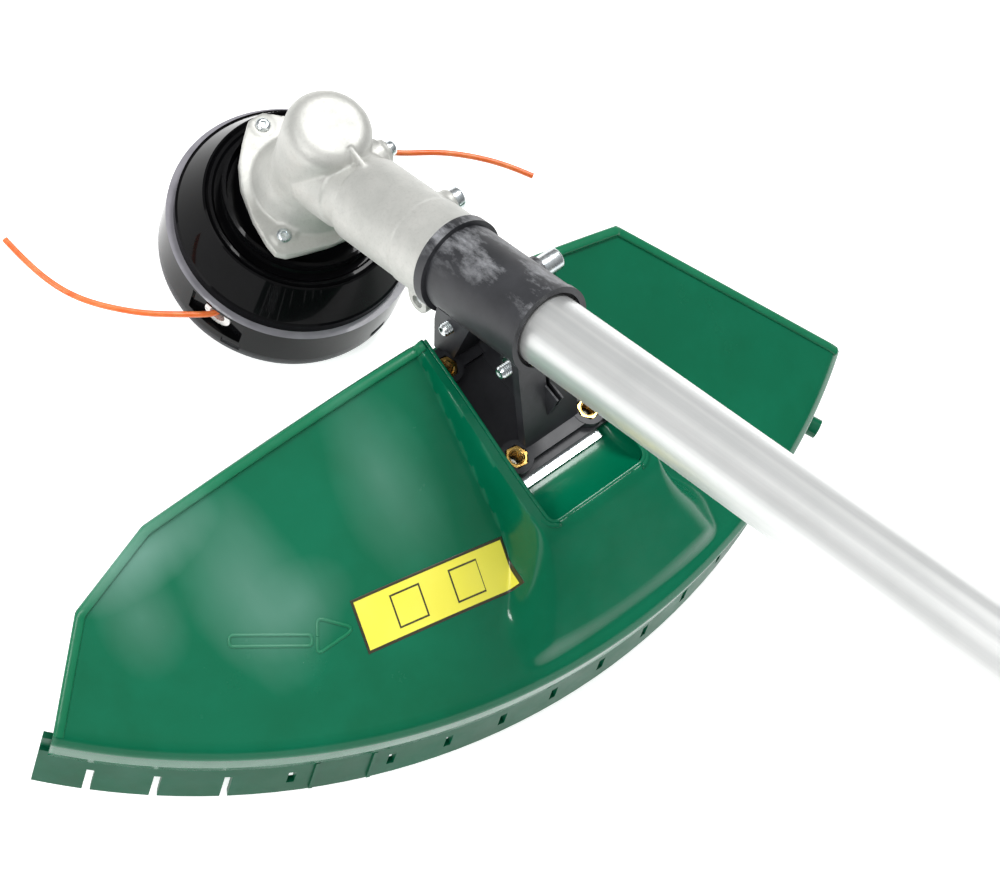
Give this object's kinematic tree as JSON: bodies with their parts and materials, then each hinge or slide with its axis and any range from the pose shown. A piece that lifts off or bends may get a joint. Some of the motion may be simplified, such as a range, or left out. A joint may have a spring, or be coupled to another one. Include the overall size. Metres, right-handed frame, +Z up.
{
  "type": "string trimmer cutting end",
  "caption": "Lower end of a straight-shaft string trimmer: tube with drive shaft, bevel gearbox, bump-feed line head and wide curved guard with a slotted skirt.",
  "frame": {"origin": "centre of the bump knob's flat lower face, on the spindle axis", "axes": "+Z up the spindle from the knob to the gearbox, -Y towards the operator's end of the tube, +X to the operator's right"},
  "size_m": [0.3441, 0.6301, 0.3991],
  "materials": {
    "tube_aluminium": "satin, drawn",
    "cast_aluminium": "fine sand-cast, light grey paint-like blast finish",
    "zinc_steel": "bright zinc plate",
    "bearing_steel": "ground",
    "gear_steel": "dark, oiled",
    "spring_steel": "drawn wire",
    "brass": "bright",
    "black_plastic": "glossy black",
    "charcoal_plastic": "satin charcoal",
    "spool_plastic": "matte dark grey",
    "knob_plastic": "satin black",
    "black_rubber": "matte",
    "bush_plastic": "matte",
    "green_plastic": "glossy deep green",
    "green_flap": "semi-gloss deep green, slightly flexible",
    "label_vinyl": "yellow film with a black edge",
    "orange_line": "orange nylon line",
    "eyelet_metal": "bright"
  },
  "bodies": {
    "frame": {"shaft_tube": "tube_aluminium", "shaft_bushes": "bush_plastic", "gearbox_housing": "cast_aluminium", "flange_screws": "zinc_steel", "grease_plug": "zinc_steel", "locating_bolt": "zinc_steel", "neck_clamp_bolt": "zinc_steel", "bearing_outer_races": "bearing_steel", "spindle_seal": "black_rubber", "bearing_circlips": "gear_steel", "guard_bracket": "charcoal_plastic", "sleeve_liner": "black_rubber", "pinch_bolts": "zinc_steel", "pinch_nuts": "zinc_steel", "brass_inserts": "brass", "guard_screws": "zinc_steel", "clamp_plate": "zinc_steel", "guard_shell": "green_plastic", "guard_skirt": "green_flap", "skirt_peg": "green_plastic", "line_cutter": "zinc_steel", "cutter_screws": "zinc_steel", "side_label": "label_vinyl"},
    "drive": {"drive_pinion": "gear_steel", "pinion_inner_races": "bearing_steel", "pinion_bearing_balls": "bearing_steel", "drive_shaft": "bearing_steel"},
    "head": {"output_spindle": "bearing_steel", "driven_gear": "gear_steel", "spindle_inner_races": "bearing_steel", "spindle_bearing_balls": "bearing_steel", "dust_cup": "black_plastic", "head_housing": "black_plastic", "head_cover": "black_plastic", "arbor_nut": "zinc_steel", "line_eyelets": "eyelet_metal", "line_end_left": "orange_line", "line_end_right": "orange_line", "knob_spring": "spring_steel"},
    "tapper": {"bump_knob": "knob_plastic"},
    "spool": {"line_spool": "spool_plastic", "line_winding": "orange_line"}
  },
  "joints": [
    {"name": "head_spin", "type": "hinge", "parent": "frame", "child": "head", "pos_m": [0, 0, 0], "axis": [0, 0, 1], "continuous": true},
    {"name": "drive_spin", "type": "hinge", "parent": "frame", "child": "drive", "pos_m": [0, 0, 0.0823], "axis": [0, -0.8788, 0.4772], "continuous": true},
    {"name": "knob_bump", "type": "slide", "parent": "head", "child": "tapper", "axis": [0, 0, 1], "range_m": [0, 0.006], "stiffness_N_per_m": 600, "springref_m": -0.012, "deforming": ["knob_spring"]},
    {"name": "spool_feed", "type": "hinge", "parent": "tapper", "child": "spool", "pos_m": [0, 0, 0], "axis": [0, 0, 1], "continuous": true}
  ],
  "couplings": [
    {"joint": "drive_spin", "follows": "head_spin", "ratio": -1.2667}
  ]
}
